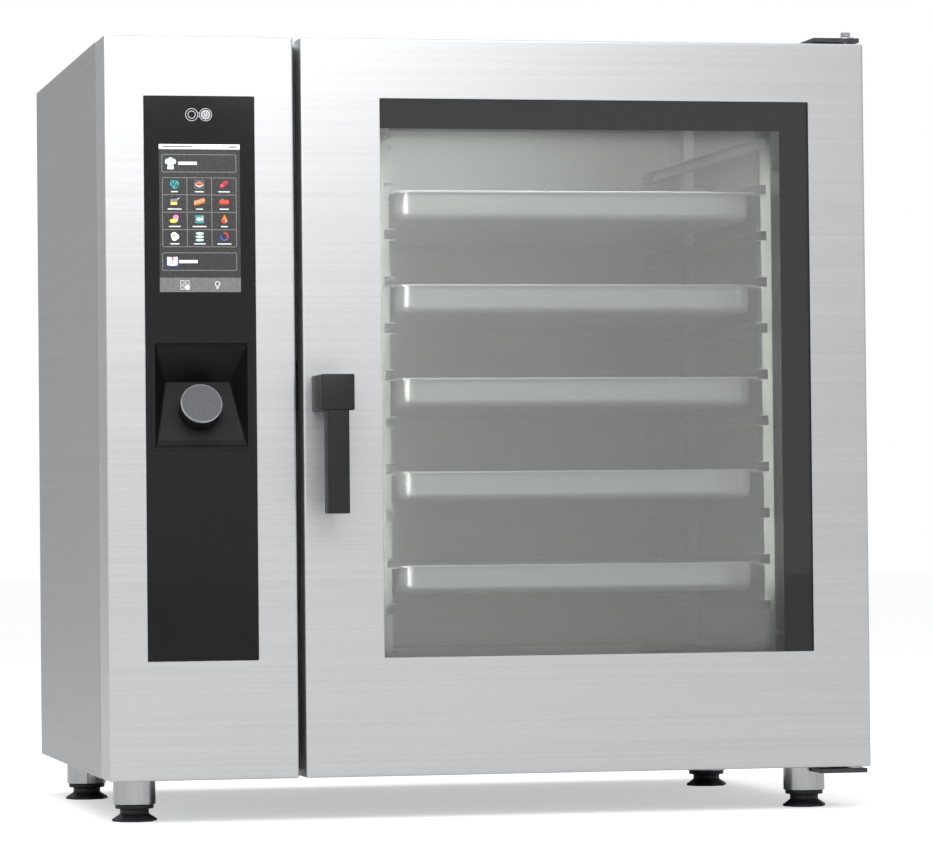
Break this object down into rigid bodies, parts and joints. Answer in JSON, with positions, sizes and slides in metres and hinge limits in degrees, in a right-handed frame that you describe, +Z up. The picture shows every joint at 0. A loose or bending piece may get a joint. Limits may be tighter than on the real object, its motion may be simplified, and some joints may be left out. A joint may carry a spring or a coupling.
{
  "type": "combi steamer oven",
  "caption": "Free-standing combi steamer oven: control column with touch screen and knob, side-hung glazed door with drop handle, tray cavity, levelling feet.",
  "frame": {"origin": "middle of the whole oven's footprint, handle and drain stub included, on the floor under its feet", "axes": "+Z up; -Y is the front with the door; +X is to the right seen from the front"},
  "size_m": [1.05, 0.933, 1.099],
  "materials": {
    "brushed_stainless": "fine horizontal brushing, satin",
    "cavity_stainless": "bright annealed, lightly brushed",
    "galvanised_steel": "zinc coated, matt",
    "black_glass": "back-printed black, gloss",
    "clear_glass": "tempered, clear",
    "black_plastic": "fine moulded grain",
    "grey_knob": "fine grain, satin rim",
    "black_powder_coat": "fine-textured powder coat",
    "silicone_rubber": "matt",
    "mineral_wool": "fibrous",
    "cast_aluminium": "as cast",
    "machined_steel": "turned",
    "sintered_bronze": "dull",
    "circuit_board": "solder mask",
    "incoloy_tube": "heat-dulled",
    "light_diffuser": "opal"
  },
  "bodies": {
    "cabinet": {"base_frame": "galvanised_steel", "cable_gland": "black_plastic", "cavity_insulation": "mineral_wool", "column_fascia": "brushed_stainless", "control_board": "circuit_board", "control_carrier": "black_plastic", "control_glass": "black_glass", "display_module": "black_plastic", "door_gasket": "silicone_rubber", "drain_pipe": "cavity_stainless", "encoder_body": "black_plastic", "fan_baffle": "cavity_stainless", "fan_motors": "cast_aluminium", "foot_sleeves": "brushed_stainless", "front_frame": "cavity_stainless", "heating_elements": "incoloy_tube", "hinge_brackets": "black_powder_coat", "hinge_pins": "machined_steel", "knob_scoop": "black_plastic", "latch_keeper": "machined_steel", "left_side_panel": "brushed_stainless", "oven_cavity": "cavity_stainless", "panel_screws": "machined_steel", "rack_runners_left": "cavity_stainless", "rack_runners_right": "cavity_stainless", "rack_uprights_left": "cavity_stainless", "rack_uprights_right": "cavity_stainless", "rear_panel": "brushed_stainless", "right_side_panel": "brushed_stainless", "steam_generator": "cavity_stainless", "steam_pipe": "cavity_stainless", "top_cover": "brushed_stainless", "vent_chimney": "brushed_stainless", "water_inlets": "sintered_bronze"},
    "door": {"door_outer_skin": "brushed_stainless", "door_inner_frame": "cavity_stainless", "door_glass_outer": "clear_glass", "door_glass_inner": "clear_glass", "door_led_strips": "light_diffuser", "hinge_blocks": "machined_steel", "hinge_bushes": "sintered_bronze", "handle_bush": "sintered_bronze"},
    "handle": {"handle_grip": "black_plastic", "handle_spindle": "machined_steel", "latch_hook": "machined_steel"},
    "encoder_rotor": {"encoder_rotor": "machined_steel"},
    "knob": {"control_knob": "grey_knob"},
    "fan_upper": {"fan_wheel_upper": "cavity_stainless"},
    "fan_lower": {"fan_wheel_lower": "cavity_stainless"},
    "vent_flap": {"vent_flap": "machined_steel"},
    "tray_1": {"gn_tray_1": "cavity_stainless"},
    "tray_2": {"gn_tray_2": "cavity_stainless"},
    "tray_3": {"gn_tray_3": "cavity_stainless"},
    "tray_4": {"gn_tray_4": "cavity_stainless"},
    "tray_5": {"gn_tray_5": "cavity_stainless"},
    "tray_6": {"gn_tray_6": "cavity_stainless"},
    "foot_front_left": {"foot_insert_front_left": "black_plastic"},
    "foot_front_right": {"foot_insert_front_right": "black_plastic"},
    "foot_rear_left": {"foot_insert_rear_left": "black_plastic"},
    "foot_rear_right": {"foot_insert_rear_right": "black_plastic"}
  },
  "joints": [
    {"name": "door_hinge", "type": "hinge", "parent": "cabinet", "child": "door", "pos_m": [0.508, -0.3575, 1.051], "axis": [0, 0, 1], "range_deg": [0, 120]},
    {"name": "handle_turn", "type": "hinge", "parent": "door", "child": "handle", "pos_m": [-0.2264, -0.3835, 0.572], "axis": [0, -1, 0], "range_deg": [0, 60]},
    {"name": "knob_turn", "type": "hinge", "parent": "cabinet", "child": "encoder_rotor", "pos_m": [-0.3975, -0.361, 0.55], "axis": [0, -0.921, 0.3896], "continuous": true},
    {"name": "knob_push", "type": "slide", "parent": "encoder_rotor", "child": "knob", "axis": [0, 0.921, -0.3896], "range_m": [0, 0.0015], "stiffness_N_per_m": 1500, "springref_m": -0.0005},
    {"name": "fan_upper_spin", "type": "hinge", "parent": "cabinet", "child": "fan_upper", "pos_m": [-0.195, 0.0365, 0.778], "axis": [1, 0, 0], "continuous": true},
    {"name": "fan_lower_spin", "type": "hinge", "parent": "cabinet", "child": "fan_lower", "pos_m": [-0.195, 0.0365, 0.378], "axis": [1, 0, 0], "continuous": true},
    {"name": "vent_flap_turn", "type": "hinge", "parent": "cabinet", "child": "vent_flap", "pos_m": [0.275, 0.3165, 1.022], "axis": [1, 0, 0], "range_deg": [0, 90]},
    {"name": "tray_1_slide", "type": "slide", "parent": "cabinet", "child": "tray_1", "axis": [0, -1, 0], "range_m": [0, 0.04]},
    {"name": "tray_2_slide", "type": "slide", "parent": "cabinet", "child": "tray_2", "axis": [0, -1, 0], "range_m": [0, 0.04]},
    {"name": "tray_3_slide", "type": "slide", "parent": "cabinet", "child": "tray_3", "axis": [0, -1, 0], "range_m": [0, 0.04]},
    {"name": "tray_4_slide", "type": "slide", "parent": "cabinet", "child": "tray_4", "axis": [0, -1, 0], "range_m": [0, 0.04]},
    {"name": "tray_5_slide", "type": "slide", "parent": "cabinet", "child": "tray_5", "axis": [0, -1, 0], "range_m": [0, 0.04]},
    {"name": "tray_6_slide", "type": "slide", "parent": "cabinet", "child": "tray_6", "axis": [0, -1, 0], "range_m": [0, 0.04]},
    {"name": "foot_front_left_adjust", "type": "slide", "parent": "cabinet", "child": "foot_front_left", "axis": [0, 0, -1], "range_m": [0, 0.02]},
    {"name": "foot_front_right_adjust", "type": "slide", "parent": "cabinet", "child": "foot_front_right", "axis": [0, 0, -1], "range_m": [0, 0.02]},
    {"name": "foot_rear_left_adjust", "type": "slide", "parent": "cabinet", "child": "foot_rear_left", "axis": [0, 0, -1], "range_m": [0, 0.02]},
    {"name": "foot_rear_right_adjust", "type": "slide", "parent": "cabinet", "child": "foot_rear_right", "axis": [0, 0, -1], "range_m": [0, 0.02]}
  ]
}
